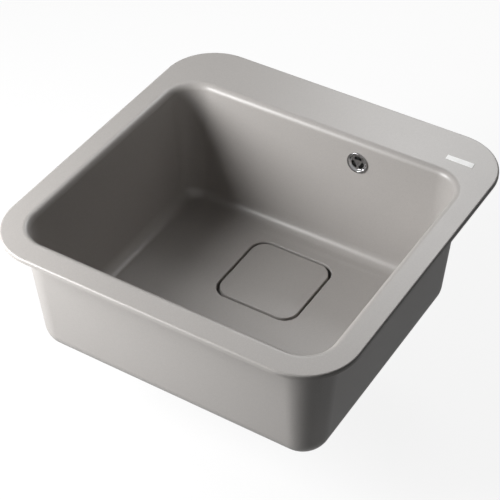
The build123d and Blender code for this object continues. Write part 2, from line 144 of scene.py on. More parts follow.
def cut_by(piece, shell):
    """Takes the space of a closed shell out of the piece."""
    tool = as_object(piece.name + "_cutter", shell)
    cut = piece.modifiers.new("cut", "BOOLEAN")
    cut.operation = "DIFFERENCE"
    cut.solver = "EXACT"
    cut.object = tool
    finished(piece)
    bpy.data.objects.remove(tool)


def turns(whole, count):
    """Even steps from nothing to a whole angle, with both ends."""
    return [whole * i / count for i in range(count + 1)]


def bowl_ring(offset, z):
    return outline(bowl_half_x + offset, bowl_half_y + offset, bowl_corner + offset, z, bowl_y)


def rim_ring(inset, z):
    return outline(rim_half - inset, rim_half - inset, rim_corner - inset, z, 0)


def square_ring(half, corner, z):
    return outline(half, half, corner, z, drain_y)


def round_ring(radius, z):
    return outline(radius, radius, radius, z, drain_y)


def drain_rings():
    edge = 1.2 * mm
    rings = [
        round_ring(drain_hole, boss_z),
        round_ring(drain_hole, flange_pocket_z),
        round_ring(flange_pocket, flange_pocket_z),
        round_ring(flange_pocket, recess_floor_z),
        square_ring(recess_half, recess_corner, recess_floor_z),
        square_ring(recess_half, recess_corner, floor_z - edge - flat_hold),
    ]
    for turn in turns(pi / 2, 4):
        grow = edge * (1 - cos(turn))
        height = floor_z - edge + edge * sin(turn)
        rings.append(square_ring(recess_half + grow, recess_corner + grow, height))
    grow = edge + flat_hold
    rings.append(square_ring(recess_half + grow, recess_corner + grow, floor_z))
    return rings


def floor_rings():
    """The floor, which falls from near the walls to the level border round the recess."""
    border = recess_half + recess_border
    steps = 8
    tangent = inner_draft / 2 + pi / 4
    wall_inset = (rim_top - floor_edge_z) * tan(inner_draft)
    outer = -(wall_inset + floor_fillet * tan(pi / 2 - tangent))
    outer_ring = bowl_ring(outer - level_margin, floor_edge_z)
    inner_ring = square_ring(border, recess_corner + recess_border, floor_z)
    rings = []
    for i in range(steps + 1):
        share = i / steps
        rise = share * share * (3 - 2 * share)
        height = floor_z + floor_fall * rise
        mixed = []
        for near, far in zip(inner_ring, outer_ring):
            x = near[0] + (far[0] - near[0]) * share
            y = near[1] + (far[1] - near[1]) * share
            mixed.append((x, y, height))
        rings.append(mixed)
    return rings


def inner_wall_rings():
    """The fillet from floor to wall, the drafted wall and the rounded lip."""
    wall_inset = (rim_top - floor_edge_z) * tan(inner_draft)
    half_turn = pi / 4 - inner_draft / 2
    reach = floor_fillet * tan(half_turn)
    center = -(wall_inset + reach)
    rings = []
    for turn in turns(2 * half_turn, 16):
        height = floor_edge_z + floor_fillet * (1 - cos(turn))
        rings.append(bowl_ring(center + floor_fillet * sin(turn), height))
    fillet_top = floor_edge_z + floor_fillet * (1 - cos(2 * half_turn))
    lip_bottom = rim_top - lip_radius * (1 - cos(2 * half_turn))
    for z in (fillet_top + flat_hold, lip_bottom - flat_hold):
        rings.append(bowl_ring(-(rim_top - z) * tan(inner_draft), z))
    lip_reach = lip_radius * tan(half_turn)
    for turn in turns(2 * half_turn, 12):
        back = 2 * half_turn - turn
        height = rim_top - lip_radius * (1 - cos(back))
        rings.append(bowl_ring(lip_reach - lip_radius * sin(back), height))
    rings.append(bowl_ring(lip_reach + flat_hold, rim_top))
    return rings


def rim_rings():
    rings = [rim_ring(rim_edge + flat_hold, rim_top)]
    for turn in turns(pi / 2, 9):
        rings.append(rim_ring(rim_edge * (1 - sin(turn)), rim_top - rim_edge * (1 - cos(turn))))
    rings += [
        rim_ring(0, rim_top - rim_edge - flat_hold),
        rim_ring(0, under_edge),
        rim_ring(under_edge, 0),
        rim_ring(groove_inset, 0),
        rim_ring(groove_inset, groove_depth),
        rim_ring(groove_inset + groove_width, groove_depth),
        rim_ring(groove_inset + groove_width, 0),
        rim_ring(seat_inset, 0),
        rim_ring(seat_inset, pad_z + pad_edge),
        rim_ring(seat_inset + pad_edge, pad_z),
    ]
    return rings


def outer_wall_rings():
    def side(z):
        return wall - (rim_top - z) * tan(outer_draft)

    root = 4 * mm
    rings = [bowl_ring(side(pad_z) + root, pad_z), bowl_ring(side(pad_z - root), pad_z - root)]
    half_turn = pi / 4 - outer_draft / 2
    reach = outer_fillet * tan(half_turn)
    fillet_top = underside_z + outer_fillet * (1 - cos(2 * half_turn))
    rings.append(bowl_ring(side(fillet_top + flat_hold), fillet_top + flat_hold))
    for turn in turns(2 * half_turn, 16):
        back = 2 * half_turn - turn
        offset = side(underside_z) - reach + outer_fillet * sin(back)
        rings.append(bowl_ring(offset, underside_z + outer_fillet * (1 - cos(back))))
    rings.append(bowl_ring(side(underside_z) - reach - flat_hold, underside_z))
    return rings


def boss_rings():
    chamfer = 3 * mm
    return [
        square_ring(boss_half, boss_corner, underside_z),
        square_ring(boss_half, boss_corner, boss_z + chamfer),
        square_ring(boss_half - chamfer, boss_corner - chamfer, boss_z),
    ]


def sink_rings():
    rings = drain_rings() + floor_rings() + inner_wall_rings() + rim_rings()
    return rings + outer_wall_rings() + boss_rings()


def softened(corners):
    """A closed outline whose corners, each a pair of places and a radius, are rounded.

    A point just outside each round keeps the straight runs beside it level."""
    points = []
    count = len(corners)
    for i in range(count):
        here = Vector(corners[i][:2])
        bend = corners[i][2]
        if bend == 0:
            points.append(here)
            continue
        back = Vector(corners[i - 1][:2]) - here
        on = Vector(corners[(i + 1) % count][:2]) - here
        between = back.angle(on)
        reach = min(bend / tan(between / 2), 0.45 * back.length, 0.45 * on.length)
        bend = reach * tan(between / 2)
        center = here + (back.normalized() + on.normalized()).normalized() * bend / sin(between / 2)
        start = here + back.normalized() * reach - center
        end = here + on.normalized() * reach - center
        hold = min(flat_hold, 0.3 * reach)
        points.append(center + start + back.normalized() * hold)
        for step in range(6):
            share = step / 5
            turn = pi - between
            swept = start * sin((1 - share) * turn) + end * sin(share * turn)
            points.append(center + swept / sin(turn))
        points.append(center + end + on.normalized() * hold)
    return [(point.x, point.y) for point in points]


def turned(profile, place, segments=64):
    """A closed solid of revolution: pairs of radius and height along the place's Z axis."""
    shell = bmesh.new()
    loops = []
    for radius, height in profile:
        if radius == 0:
            loops.append([shell.verts.new(place @ Vector((0, 0, height)))])
            continue
        loop = []
        for i in range(segments):
            angle = 2 * pi * i / segments
            spot = Vector((radius * cos(angle), radius * sin(angle), height))
            loop.append(shell.verts.new(place @ spot))
        loops.append(loop)
    pairs = list(zip(loops, loops[1:]))
    if profile[0][0] > 0:
        pairs.append((loops[-1], loops[0]))
    for here, ahead in pairs:
        for i in range(segments):
            j = (i + 1) % segments
            corners = [here[i % len(here)], here[j % len(here)]]
            corners += [ahead[j % len(ahead)], ahead[i % len(ahead)]]
            shell.faces.new(list(dict.fromkeys(corners)))
    bmesh.ops.recalc_face_normals(shell, faces=shell.faces)
    return shell


def cylinder(radius, bottom, top, place, segments=64):
    """A closed cylinder along the place's Z axis."""
    return turned([(0, bottom), (radius, bottom), (radius, top), (0, top)], place, segments)


overflow_x = 60.4 * mm
overflow_drop = 34.5 * mm
overflow_y = bowl_y + bowl_half_y - overflow_drop * tan(inner_draft)
overflow_z = rim_top - overflow_drop
on_back_wall = Matrix.Translation((overflow_x, overflow_y, overflow_z))
on_back_wall = on_back_wall @ Matrix.Rotation(-pi / 2 - inner_draft, 4, "X")
inside_bowl_z = -6 * mm
rose_seat = 15.8 * mm
rose_seat_z = 0.6 * mm
overflow_hole = 12 * mm
ring_seat = 23 * mm
ring_seat_z = 8.578 * mm
behind_wall_z = 14.378 * mm
overflow_cut = [
    (0, inside_bowl_z),
    (rose_seat, inside_bowl_z),
    (rose_seat, rose_seat_z),
    (overflow_hole, rose_seat_z),
    (overflow_hole, ring_seat_z),
    (ring_seat, ring_seat_z),
    (ring_seat, behind_wall_z),
    (0, behind_wall_z),
]
tap_hole = 17.5 * mm
tap_place = Matrix.Translation((0, 209 * mm, 0))
below_pad_z = -12 * mm
tap_skin_z = 4 * mm

sink = as_object("sink_moulding", lofted(sink_rings()))
cut_by(sink, turned(overflow_cut, on_back_wall, 96))
cut_by(sink, cylinder(tap_hole, below_pad_z, tap_skin_z, tap_place, 96))


def set_inputs(tree, node, inputs):
    """Sets a node's inputs by name, each to a plain value or to another node's output."""
    for label, value in inputs.items():
        if isinstance(value, bpy.types.NodeSocket):
            tree.links.new(value, node.inputs[label])
        else:
            node.inputs[label].default_value = value


def wired(tree, kind, inputs, **settings):
    """A new node with its settings and its inputs."""
    node = tree.nodes.new(kind)
    for label, value in settings.items():
        setattr(node, label, value)
    set_inputs(tree, node, inputs)
    return node


def maths(tree, operation, *values):
    """The result of one to three values, each a number or another node's output."""
    node = wired(tree, "ShaderNodeMath", dict(enumerate(values)), operation=operation)
    return node.outputs[0]


def new_group(name, setting, value, results):
    """An empty shader group: a Vector and one named number go in, named numbers come out."""
    group = bpy.data.node_groups.new(name, "ShaderNodeTree")
    sockets = group.interface
    sockets.new_socket(name="Vector", in_out="INPUT", socket_type="NodeSocketVector")
    number = sockets.new_socket(name=setting, in_out="INPUT", socket_type="NodeSocketFloat")
    number.default_value = value
    for label in results:
        sockets.new_socket(name=label, in_out="OUTPUT", socket_type="NodeSocketFloat")
    return group, group.nodes.new("NodeGroupInput").outputs


def mineral_grain_group():
    """Fine granules and a slow cloudiness, as a filled resin has."""
    results = ("Granules", "Clouds", "Height")
    group, given = new_group("mineral_grain", "Granule Size", 0.0009, results)
    place = given["Vector"]
    frequency = maths(group, "DIVIDE", 1, given["Granule Size"])
    cells = wired(group, "ShaderNodeTexVoronoi", {"Vector": place, "Scale": frequency}, feature="F1")
    spread = {"Value": cells.outputs["Color"], "From Min": 0.05, "From Max": 0.95}
    granules = wired(group, "ShaderNodeMapRange", spread)
    clouds = wired(group, "ShaderNodeTexNoise", {"Vector": place, "Scale": 9, "Detail": 3})
    skin = wired(group, "ShaderNodeTexNoise", {"Vector": place, "Scale": 900, "Detail": 2})
    outputs = {
        "Granules": granules.outputs["Result"],
        "Clouds": clouds.outputs["Fac"],
        "Height": skin.outputs["Fac"],
    }
    wired(group, "NodeGroupOutput", outputs)
    return group


def new_material(name):
    """A material with its tree, its Principled shader and its Object coordinates."""
    material = bpy.data.materials.new(name)
    material.use_nodes = True
    tree = material.node_tree
    place = tree.nodes.new("ShaderNodeTexCoord").outputs["Object"]
    return material, tree, tree.nodes["Principled BSDF"], place


def mixed_colour(tree, factor, low, high):
    """A colour between two, by a factor that changes over the surface."""
    inputs = {"Factor": factor, "A": (*low, 1), "B": (*high, 1)}
    return wired(tree, "ShaderNodeMix", inputs, data_type="RGBA").outputs["Result"]


def ranged(tree, value, low, high):
    """A value from 0 to 1 spread between two others."""
    inputs = {"Value": value, "To Min": low, "To Max": high}
    return wired(tree, "ShaderNodeMapRange", inputs).outputs["Result"]


def relief(tree, height, distance, strength):
    """The normal of a surface with small relief, in metres."""
    inputs = {"Height": height, "Distance": distance, "Strength": strength}
    return wired(tree, "ShaderNodeBump", inputs).outputs["Normal"]


mineral_grain = mineral_grain_group()


def composite_material(name):
    material, tree, shader, place = new_material(name)
    inputs = {"Vector": place, "Granule Size": 0.0009}
    grain = wired(tree, "ShaderNodeGroup", inputs, node_tree=mineral_grain).outputs
    body = mixed_colour(tree, grain["Granules"], (0.39, 0.371, 0.356), (0.428, 0.409, 0.392))
    shade = mixed_colour(tree, grain["Clouds"], (0.98, 0.98, 0.98), (1, 1, 1))
    both = {"Factor": 1, "A": body, "B": shade}
    colour = wired(tree, "ShaderNodeMix", both, data_type="RGBA", blend_type="MULTIPLY")
    look = {
        "Base Color": colour.outputs["Result"],
        "Roughness": ranged(tree, grain["Clouds"], 0.32, 0.39),
        "Specular IOR Level": 0.55,
        "Normal": relief(tree, grain["Height"], 0.00005, 0.4),
    }
    set_inputs(tree, shader, look)
    return material


composite = composite_material("moulded_composite")


def fitted(piece, body, nodes, material):
    """Gives a finished piece its material, its CAD body and the nodes that it stands for."""
    piece.data.materials.clear()
    piece.data.materials.append(material)
    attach(piece, body)
    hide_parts(*nodes)


fitted(sink, "sink", ["sink_body"], composite)

# Sealing strip. Closed-cell foam, glued into the groove under the rim; the sink's weight presses
# it on the worktop.


def strip_rings():
    soft = 0.35 * mm
    near, far = groove_inset, groove_inset + groove_width
    places = [(near + soft, 0), (near, soft), (near, groove_depth)]
    places += [(far, groove_depth), (far, soft), (far - soft, 0)]
    return [rim_ring(inset, z) for inset, z in places]


def foam_material():
    material, tree, shader, place = new_material("closed_cell_foam")
    cells = wired(tree, "ShaderNodeTexVoronoi", {"Vector": place, "Scale": 1100})
    depth = cells.outputs["Distance"]
    look = {
        "Base Color": mixed_colour(tree, depth, (0.03, 0.03, 0.032), (0.1, 0.1, 0.105)),
        "Roughness": ranged(tree, depth, 0.85, 0.95),
        "Normal": relief(tree, depth, 0.0004, 0.7),
    }
    set_inputs(tree, shader, look)
    return material


foam = foam_material()
strip = as_object("rim_foam_strip", lofted(strip_rings()))
fitted(strip, "sink", ["rim_seal"], foam)

# Strainer dish and what clamps it. The dish is pressed from stainless sheet; a foam gasket lies
# under its flange, a rubber one above the waste body, and one screw in a brass insert holds all.

at_drain = Matrix.Translation((0, drain_y, 0))


def ring_between(outer, inner, bottom, top, soft, place, name):
    corners = [(outer, bottom, soft), (outer, top, soft), (inner, top, soft), (inner, bottom, soft)]
    return as_object(name, turned(softened(corners), place, 96))


def new_tree(name, kinds, result):
    """An empty Geometry Nodes tree with named inputs and one result."""
    tree = bpy.data.node_groups.new(name, "GeometryNodeTree")
    sockets = tree.interface
    for label, kind in (*kinds.items(), ("Material", "Material")):
        sockets.new_socket(name=label, in_out="INPUT", socket_type="NodeSocket" + kind)
    sockets.new_socket(name=result, in_out="OUTPUT", socket_type="NodeSocketGeometry")
    return tree, tree.nodes.new("NodeGroupInput").outputs


def made_real(tree, shape, material, result):
    """Ends a tree, with its instances made real and its material set."""
    real = wired(tree, "GeometryNodeRealizeInstances", {"Geometry": shape})
    inputs = {"Geometry": real.outputs[0], "Material": material}
    painted = wired(tree, "GeometryNodeSetMaterial", inputs)
    wired(tree, "NodeGroupOutput", {result: painted.outputs[0]})


def copies_tree():
    """Copies of one shape turned round an upright axis, as one mesh."""
    kinds = {"Shape": "Geometry", "Count": "Int"}
    tree, given = new_tree("copies_round_an_axis", kinds, "Copies")
    single = wired(tree, "GeometryNodeGeometryToInstance", {0: given["Shape"]})
    inputs = {"Geometry": single.outputs[0], "Amount": given["Count"]}
    many = wired(tree, "GeometryNodeDuplicateElements", inputs, domain="INSTANCE")
    share = maths(tree, "DIVIDE", many.outputs["Duplicate Index"], given["Count"])
    upright = wired(tree, "ShaderNodeCombineXYZ", {"Z": maths(tree, "MULTIPLY", share, 2 * pi)})
    spin = {
        "Instances": many.outputs["Geometry"],
        "Rotation": upright.outputs[0],
        "Local Space": False,
    }
    spun = wired(tree, "GeometryNodeRotateInstances", spin)
    made_real(tree, spun.outputs[0], given["Material"], "Copies")
    return tree


copies_round_an_axis = copies_tree()


def grown(name, shell, tree, values):
    """The mesh that a Geometry Nodes tree makes of a shell, with its inputs given by name."""
    seed = as_object(name, shell)
    grow = seed.modifiers.new("grow", "NODES")
    grow.node_group = tree
    for item in tree.interface.items_tree:
        if item.in_out == "INPUT" and item.name in values:
            grow[item.identifier] = values[item.name]
    finished(seed)
    mesh = seed.data
    bpy.data.objects.remove(seed)
    return mesh


def repeated(name, shell, count, place, material):
    """A shell with copies of one shape round the place's Z axis."""
    mesh = grown(name, shell, copies_round_an_axis, {"Count": count, "Material": material})
    copies = bmesh.new()
    copies.from_mesh(mesh)
    bpy.data.meshes.remove(mesh)
    copies.transform(place)
    return copies


def capped(rings):
    """A closed block through matching rings of points, with a flat face at both ends."""
    shell = bmesh.new()
    loops = [[shell.verts.new(point) for point in ring] for ring in rings]
    for here, ahead in zip(loops, loops[1:]):
        for i in range(len(here)):
            j = (i + 1) % len(here)
            shell.faces.new((here[i], here[j], ahead[j], ahead[i]))
    shell.faces.new(list(reversed(loops[0])))
    shell.faces.new(loops[-1])
    bmesh.ops.recalc_face_normals(shell, faces=shell.faces)
    return shell


def prism(outline_points, near, far, place):
    """A closed block whose outline lies in the place's XY plane, from one height to another."""
    return capped([[place @ Vector((x, y, z)) for x, y in outline_points] for z in (near, far)])


def round_ended(length, width, steps=8):
    """The outline of a slot along X, or of a round hole where the two sizes are the same."""
    points = []
    for side, start in ((1, -90), (-1, 90)):
        for i in range(steps + 1):
            angle = radians(start + 180 * i / steps)
            points.append((side * (length - width) / 2 + width / 2 * cos(angle), width / 2 * sin(angle)))
    return list(dict.fromkeys((round(x, 9), round(y, 9)) for x, y in points))


def turned_marks_group():
    """Fine rings round an upright axis, as turning, spinning or brushing leaves them."""
    group, given = new_group("turned_marks", "Fineness", 2500, ("Marks",))
    inputs = {0: given["Vector"], 1: (1, 1, 0)}
    flat = wired(group, "ShaderNodeVectorMath", inputs, operation="MULTIPLY")
    reach = wired(group, "ShaderNodeVectorMath", {0: flat.outputs["Vector"]}, operation="LENGTH")
    inputs = {"W": reach.outputs["Value"], "Scale": given["Fineness"], "Detail": 3}
    rings = wired(group, "ShaderNodeTexNoise", inputs, noise_dimensions="1D")
    wired(group, "NodeGroupOutput", {"Marks": rings.outputs["Fac"]})
    return group


turned_marks = turned_marks_group()


def turned_metal(name, dull, bright, smooth, rough, fineness):
    """A metal with rings round the drain's axis in its colour, gloss and relief."""
    material, tree, shader, place = new_material(name)
    moved = wired(tree, "ShaderNodeMapping", {"Vector": place, "Location": (0, -drain_y, 0)})
    inputs = {"Vector": moved.outputs["Vector"], "Fineness": fineness}
    marks = wired(tree, "ShaderNodeGroup", inputs, node_tree=turned_marks).outputs["Marks"]
    look = {
        "Metallic": 1,
        "Base Color": mixed_colour(tree, marks, dull, bright),
        "Roughness": ranged(tree, marks, rough, smooth),
        "Normal": relief(tree, marks, 0.00002, 0.35),
    }
    set_inputs(tree, shader, look)
    return material


stainless = turned_metal("spun_stainless", (0.5, 0.5, 0.49), (0.62, 0.62, 0.61), 0.16, 0.3, 2500)
dish_profile = [
    (56, -196.2, 0.3),
    (56, -195, 0.5),
    (42, -195, 2),
    (42, -203, 0.6),
    (39.5, -203, 0.8),
    (33, -241, 0.5),
    (27.5, -241, 1.5),
    (27.5, -247, 1.5),
    (0, -247, 0),
    (0, -248.2, 0),
    (28.7, -248.2, 2.7),
    (28.7, -242.2, 0.3),
    (34.2, -242.2, 1.7),
    (40.7, -204.2, 0.3),
    (43.2, -204.2, 1.8),
    (43.2, -196.2, 0.8),
]


def in_metres(corners):
    return [tuple(value * mm for value in corner) for corner in corners]


def spun_open(corners):
    """The rounded outline of a turned piece, started at its axis."""
    points = softened(in_metres(corners))
    first = max(i for i in range(len(points)) if points[i][0] == 0)
    return points[first:] + points[:first]


dish = as_object("strainer_dish", turned(spun_open(dish_profile), at_drain, 128))
below_dish_z = -250 * mm
in_dish_z = -246 * mm
outlet_width = 14 * mm
outlet_reach = 17.5 * mm
screw_hole = 3.4 * mm
outlet_edge = [(x + outlet_reach, y) for x, y in round_ended(outlet_width, outlet_width, 16)]
outlet_hole = prism(outlet_edge, below_dish_z, in_dish_z, Matrix())
cut_by(dish, repeated("outlet_holes", outlet_hole, 6, at_drain, stainless))
cut_by(dish, cylinder(screw_hole, below_dish_z, in_dish_z, at_drain))
fitted(dish, "sink", ["strainer_flange"], stainless)

gasket_outer = 55 * mm
gasket_inner = 46 * mm
flange_under_z = -196.2 * mm
foam_soft = 0.3 * mm
foam_ring = ring_between(
    gasket_outer, gasket_inner, flange_pocket_z, flange_under_z, foam_soft, at_drain, "foam_ring"
)
fitted(foam_ring, "sink", ["flange_gasket"], foam)


def moulded_skin_group():
    """The faint unevenness that a mould leaves on plastic and rubber."""
    group, given = new_group("moulded_skin", "Fineness", 1200, ("Texture", "Flow"))
    inputs = {"Vector": given["Vector"], "Scale": given["Fineness"], "Detail": 2}
    fine = wired(group, "ShaderNodeTexNoise", inputs)
    inputs = {"Vector": given["Vector"], "Scale": 35, "Detail": 4, "Distortion": 1.2}
    flow = wired(group, "ShaderNodeTexNoise", inputs)
    outputs = {"Texture": fine.outputs["Fac"], "Flow": flow.outputs["Fac"]}
    wired(group, "NodeGroupOutput", outputs)
    return group


moulded_skin = moulded_skin_group()


def moulded_material(name, low, high, smooth, rough, fineness, depth):
    """A plastic or rubber, with its two shades of grey."""
    material, tree, shader, place = new_material(name)
    inputs = {"Vector": place, "Fineness": fineness}
    skin = wired(tree, "ShaderNodeGroup", inputs, node_tree=moulded_skin).outputs
    look = {
        "Base Color": mixed_colour(tree, skin["Flow"], low, high),
        "Roughness": ranged(tree, skin["Flow"], smooth, rough),
        "Normal": relief(tree, skin["Texture"], depth, 0.5),
    }
    set_inputs(tree, shader, look)
    return material


soot, worn_soot = (0.018, 0.018, 0.018), (0.04, 0.04, 0.04)
rubber = moulded_material("black_rubber", soot, worn_soot, 0.6, 0.8, 1500, 0.00004)
collar_top_z = -207 * mm
rubber_soft = 0.5 * mm
rubber_ring = ring_between(
    gasket_outer, gasket_inner, collar_top_z, boss_z, rubber_soft, at_drain, "rubber_ring"
)
fitted(rubber_ring, "sink", ["body_gasket"], rubber)

turned_steel = turned_metal("turned_steel", (0.42, 0.42, 0.41), (0.58, 0.58, 0.57), 0.22, 0.38, 5000)
screw_profile = [
    (0, -261.2, 0),
    (3, -261.2, 0.5),
    (3, -247, 0.2),
    (6.5, -247, 0.2),
    (6.5, -244, 1.3),
    (0, -244, 0),
]
screw = as_object("dish_screw", turned(softened(in_metres(screw_profile)), at_drain))
slot_outline = in_metres([(-8, -0.7), (8, -0.7), (8, 0.7), (-8, 0.7)])
slot_floor_z = -245.6 * mm
above_head_z = -243 * mm
cut_by(screw, prism(slot_outline, slot_floor_z, above_head_z, at_drain))
fitted(screw, "sink", ["clamp_screw"], turned_steel)

turned_brass = turned_metal("turned_brass", (0.5, 0.36, 0.15), (0.66, 0.5, 0.25), 0.25, 0.4, 4000)
for material_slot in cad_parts["brass_insert"].material_slots:
    material_slot.material = turned_brass

# Waste body. Moulded white polypropylene: a collar with webs under the gasket, the chamber, a
# hub on three ribs for the insert, the hose inlet, and the threaded outlet for the trap.

hose_turn = atan2(142.414, 60.4)
inlet_z = -233 * mm
chalk, bright_chalk = (0.7, 0.7, 0.685), (0.78, 0.78, 0.765)
white_plastic = moulded_material("white_polypropylene", chalk, bright_chalk, 0.35, 0.5, 900, 0.00003)
body_profile = [
    (45.2, -207, 0.4),
    (56, -207, 0.6),
    (56, -212, 0.6),
    (48.2, -212, 1),
    (48.2, -252, 1.5),
    (23.9, -268.5, 1.5),
    (23.9, -270.5, 0.3),
    (22.4, -271.5, 0.3),
    (22.4, -295, 0.6),
    (20, -295, 0.5),
    (20, -267, 1.5),
    (45.2, -252, 2),
]


def joined_with(piece, shell):
    """Fuses a closed shell with the piece."""
    tool = as_object(piece.name + "_addition", shell)
    join = piece.modifiers.new("join", "BOOLEAN")
    join.operation = "UNION"
    join.solver = "EXACT"
    join.object = tool
    finished(piece)
    bpy.data.objects.remove(tool)


def upright_web(corners, thickness):
    """A flat web in the plane through the axis, set by its corners in reach and height."""
    stand = Matrix.Rotation(pi / 2, 4, "X")
    return prism(in_metres(corners), -thickness / 2, thickness / 2, stand)


hose_axis = at_drain @ Matrix.Rotation(hose_turn, 4, "Z")
along_inlet = hose_axis @ Matrix.Translation((0, 0, inlet_z)) @ Matrix.Rotation(pi / 2, 4, "Y")
inlet_start = 45.4 * mm
inlet_reach = 72 * mm
spigot_radius = 14 * mm
web_thickness = 2 * mm
rib_thickness = 3 * mm
hub_radius = 9 * mm
hub_bottom_z = -266.2 * mm
hub_top_z = -248.2 * mm
insert_radius = 5.5 * mm
insert_bottom_z = -263 * mm

waste = as_object("waste_moulding", turned(softened(in_metres(body_profile)), at_drain, 128))
web_corners = [(46.7, -209.5), (55, -209.5), (55, -212), (46.7, -226)]
collar_web = upright_web(web_corners, web_thickness)
joined_with(waste, repeated("collar_webs", collar_web, 8, at_drain, white_plastic))
joined_with(waste, cylinder(spigot_radius, inlet_start, inlet_reach, along_inlet))
rib_corners = [(7.5, -249.7), (46.2, -249.7), (46.2, -253), (22.5, -266.2), (7.5, -266.2)]
hub_web = upright_web(rib_corners, rib_thickness)
joined_with(waste, repeated("hub_ribs", hub_web, 3, at_drain, white_plastic))
joined_with(waste, cylinder(hub_radius, hub_bottom_z, hub_top_z, at_drain))
cut_by(waste, cylinder(insert_radius, insert_bottom_z, in_dish_z, at_drain))
inlet_bore = in_metres([(0, 39), (9, 39), (9, 62), (10.7, 62), (10.7, 73), (0, 73)])
cut_by(waste, turned(inlet_bore, along_inlet))


def thread_tree():
    """A ridge that climbs a cylinder, thinned away at both ends."""
    labels = ("Radius", "Pitch", "Turns", "Root Width", "Crest Width", "Ridge Height")
    tree, given = new_tree("climbing_thread", dict.fromkeys(labels, "Float"), "Thread")
    climb = {
        "Resolution": 72,
        "Rotations": given["Turns"],
        "Start Radius": given["Radius"],
        "End Radius": given["Radius"],
        "Height": maths(tree, "MULTIPLY", given["Pitch"], given["Turns"]),
    }
    helix = wired(tree, "GeometryNodeCurveSpiral", climb)
    upright = {"Curve": helix.outputs[0]}
    steady = wired(tree, "GeometryNodeSetCurveNormal", upright, mode="Z_UP")
    section = {
        "Offset": 0,
        "Bottom Width": given["Root Width"],
        "Top Width": given["Crest Width"],
        "Height": given["Ridge Height"],
    }
    ridge = wired(tree, "GeometryNodeCurvePrimitiveQuadrilateral", section, mode="TRAPEZOID")
    along = tree.nodes.new("GeometryNodeSplineParameter").outputs["Factor"]
    from_end = maths(tree, "PINGPONG", along, 0.5)
    fade = wired(tree, "ShaderNodeMapRange", {"Value": from_end, "From Max": 0.03, "To Min": 0.1})
    sweep = {
        "Fill Caps": True,
        "Curve": steady.outputs[0],
        "Profile Curve": ridge.outputs[0],
        "Scale": fade.outputs["Result"],
    }
    skin = wired(tree, "GeometryNodeCurveToMesh", sweep)
    made_real(tree, skin.outputs[0], given["Material"], "Thread")
    return tree


thread_sizes = {
    "Radius": 23.0 * mm,
    "Pitch": 2.31 * mm,
    "Turns": 9.3,
    "Root Width": 1.9 * mm,
    "Crest Width": 0.6 * mm,
    "Ridge Height": 1.7 * mm,
    "Material": white_plastic,
}
thread_start_z = -294 * mm
thread_mesh = grown("thread_seed", bmesh.new(), thread_tree(), thread_sizes)
thread_mesh.transform(Matrix.Translation((0, drain_y, thread_start_z)))
thread = bpy.data.objects.new("outlet_thread", thread_mesh)
bpy.context.scene.collection.objects.link(thread)
fitted(waste, "sink", ["waste_body"], white_plastic)
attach(thread, "sink")

# Basket and plug. The basket is perforated stainless sheet and hangs in the dish by its rim. The
# plug's steel stem slides in a moulded bush, with a rubber seal below and a plastic knob above.

basket_profile = [
    (41.6, -203, 0.3),
    (41.6, -202.2, 0.3),
    (38.1, -202.2, 1.2),
    (31.2, -227.2, 2.2),
    (5.5, -227.2, 0.1),
    (5.5, -228, 0.1),
    (32, -228, 3),
    (38.9, -203, 0.4),
]
basket = as_object("basket_sieve", turned(softened(in_metres(basket_profile)), at_drain, 128))
wall_lean = atan2(6.9, 25)
wall_middle = (35.45 * mm, 0, -215.5 * mm)
on_basket_wall = Matrix.Translation(wall_middle) @ Matrix.Rotation(pi / 2 + wall_lean, 4, "Y")
wall_slot = prism(round_ended(13 * mm, 3 * mm), -4 * mm, 4 * mm, on_basket_wall)
cut_by(basket, repeated("wall_slots", wall_slot, 16, at_drain, stainless))
hole_width = 4.8 * mm
hole_reach = 20 * mm
below_basket_z = -230 * mm
in_basket_z = -226 * mm
hole_edge = [(x + hole_reach, y) for x, y in round_ended(hole_width, hole_width)]
floor_hole = prism(hole_edge, below_basket_z, in_basket_z, Matrix())
cut_by(basket, repeated("floor_holes", floor_hole, 8, at_drain, stainless))
fitted(basket, "basket", ["basket_cup"], stainless)

jet, worn_jet = (0.02, 0.02, 0.021), (0.035, 0.035, 0.036)
black_plastic = moulded_material("black_moulded", jet, worn_jet, 0.35, 0.5, 2200, 0.00003)
bush_profile = [
    (3.06, -207.2, 0.3),
    (5.5, -207.2, 0.6),
    (5.5, -225.2, 0.6),
    (8, -225.2, 0.5),
    (8, -227.2, 0.1),
    (5.5, -227.2, 0.1),
    (5.5, -229, 0.4),
    (3.06, -229, 0.3),
]
bush = as_object("stem_guide", turned(softened(in_metres(bush_profile)), at_drain))
fitted(bush, "basket", ["stem_bush"], black_plastic)

stem_profile = [
    (0, -234.2, 0),
    (14, -234.2, 0.4),
    (14, -233, 0.3),
    (3, -233, 0.3),
    (3, -198, 0.3),
    (0, -198, 0),
]
stem = as_object("plug_rod", turned(softened(in_metres(stem_profile)), at_drain))
fitted(stem, "plug", ["plug_stem"], turned_steel)

seal_profile = [
    (3, -233, 0.1),
    (15, -233, 0),
    (15.4, -232.9, 0),
    (32.2, -232.9, 0.6),
    (31.6, -230.4, 0.6),
    (27, -230.4, 0.6),
    (26, -231.2, 0.5),
    (16, -231.2, 0.5),
    (15, -230.4, 0.5),
    (3, -230.4, 0.1),
]
seal = as_object("plug_rubber", turned(softened(in_metres(seal_profile)), at_drain, 96))
fitted(seal, "plug", ["plug_seal"], rubber)

knob_profile = [
    (0, -198, 0),
    (6, -198, 0.3),
    (6, -194.5, 0.8),
    (9, -194.5, 0.9),
    (9, -191, 1.4),
    (4, -191, 0.8),
    (0, -191.5, 0),
]
knob = as_object("plug_grip", turned(softened(in_metres(knob_profile)), at_drain))
fitted(knob, "plug", ["plug_knob"], black_plastic)

# Square cover. It is moulded of the same composite as the bowl, lies flush with the floor on
# four rubber feet, and hides the basket; water runs down the gap all round it.

